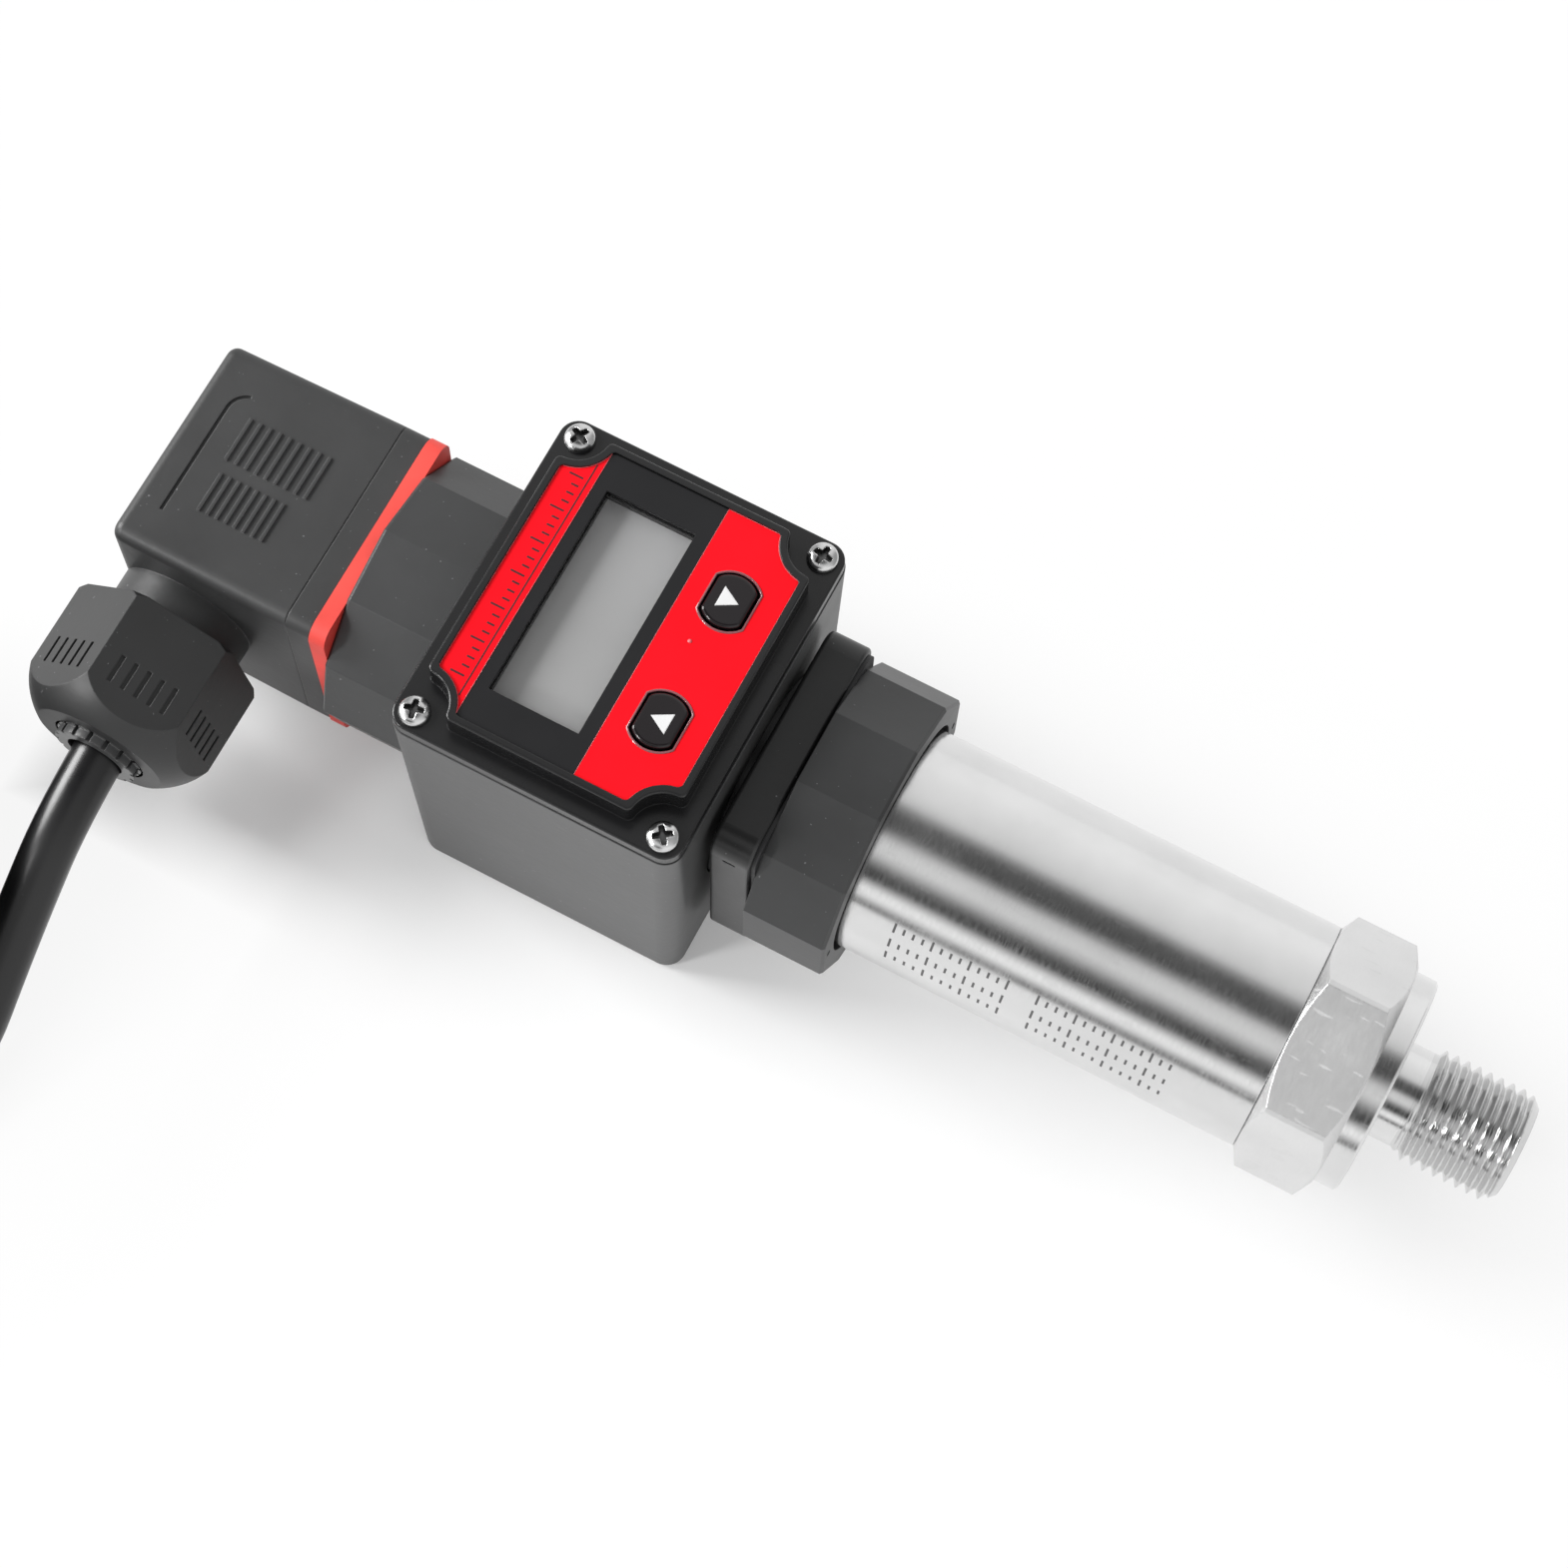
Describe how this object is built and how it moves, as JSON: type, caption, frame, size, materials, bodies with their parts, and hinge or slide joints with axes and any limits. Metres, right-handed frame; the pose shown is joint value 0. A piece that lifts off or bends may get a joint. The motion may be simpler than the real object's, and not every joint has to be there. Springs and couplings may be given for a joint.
{
  "type": "pressure transmitter",
  "caption": "Pressure transmitter lying on its display head, with a threaded process connection, a steel sensor tube, a turnable display head with keys, and an angled cable plug.",
  "frame": {"origin": "on the main axis, where the full thread of the process connection begins", "axes": "+X along the main axis towards the thread's tip, +Z out of the display, -Y towards the cable gland"},
  "size_m": [0.2443, 0.1251, 0.0448],
  "materials": {
    "bright_steel": "polished",
    "tube_steel": "brushed",
    "screw_steel": "bright",
    "contact_metal": "satin",
    "ceramic": "fine ceramic",
    "board_green": "circuit board",
    "collar_plastic": "fine grain",
    "housing_plastic": "fine grain",
    "lid_plastic": "gloss",
    "label_face": "printed foil",
    "window_glass": "clear",
    "lcd_grey": "blank display",
    "key_plastic": "gloss",
    "seal_black": "matte",
    "seal_red": "matte",
    "clamp_plastic": "satin",
    "cable_jacket": "satin",
    "core_jacket": "satin",
    "tie_plastic": "satin"
  },
  "bodies": {
    "head": {"display_housing": "housing_plastic", "lid_seal": "seal_black", "display_lid": "lid_plastic", "face_label": "label_face", "lcd_window": "window_glass", "lcd_module": "lcd_grey", "display_board": "board_green", "key_switches": "collar_plastic", "lid_screws": "screw_steel", "rear_base": "collar_plastic", "rear_nut": "contact_metal", "rear_contacts": "contact_metal", "plug_seal": "seal_red", "plug_insert": "collar_plastic", "terminal_screws": "screw_steel", "plug_cover": "housing_plastic", "gland_seal": "seal_black", "clamp_ring": "clamp_plastic", "cable_tail": "cable_jacket", "tail_cores": "core_jacket", "cable_run": "cable_jacket", "cable_end": "cable_jacket", "cable_cores": "core_jacket", "cable_coil": "cable_jacket", "coil_ties": "tie_plastic"},
    "transmitter": {"process_connection": "bright_steel", "sensor_tube": "tube_steel", "cell_seal": "seal_black", "measuring_cell": "ceramic", "cell_lock_ring": "bright_steel", "amplifier_board": "board_green", "base_collar": "collar_plastic", "collar_nut": "contact_metal", "collar_contacts": "contact_metal", "socket_seal": "seal_black", "head_socket": "collar_plastic", "turn_ring": "collar_plastic", "head_screw": "screw_steel"},
    "key_up": {"key_up": "key_plastic"},
    "key_down": {"key_down": "key_plastic"},
    "nut": {"gland_nut": "collar_plastic"},
    "screw": {"plug_screw": "screw_steel"}
  },
  "joints": [
    {"name": "head_swivel", "type": "hinge", "parent": "head", "child": "transmitter", "pos_m": [-0.0805, 0, 0], "axis": [1, 0, 0], "range_deg": [-165, 165]},
    {"name": "key_up_press", "type": "slide", "parent": "head", "child": "key_up", "axis": [0, 0, -1], "range_m": [0, 0.0006], "stiffness_N_per_m": 1000},
    {"name": "key_down_press", "type": "slide", "parent": "head", "child": "key_down", "axis": [0, 0, -1], "range_m": [0, 0.0006], "stiffness_N_per_m": 1000},
    {"name": "gland_nut_turn", "type": "hinge", "parent": "head", "child": "nut", "pos_m": [-0.1491, -0.025, 0], "axis": [0, -1, 0], "range_deg": [0, 1350]},
    {"name": "plug_screw_turn", "type": "hinge", "parent": "head", "child": "screw", "pos_m": [-0.15, 0, 0], "axis": [-1, 0, 0], "continuous": true}
  ]
}
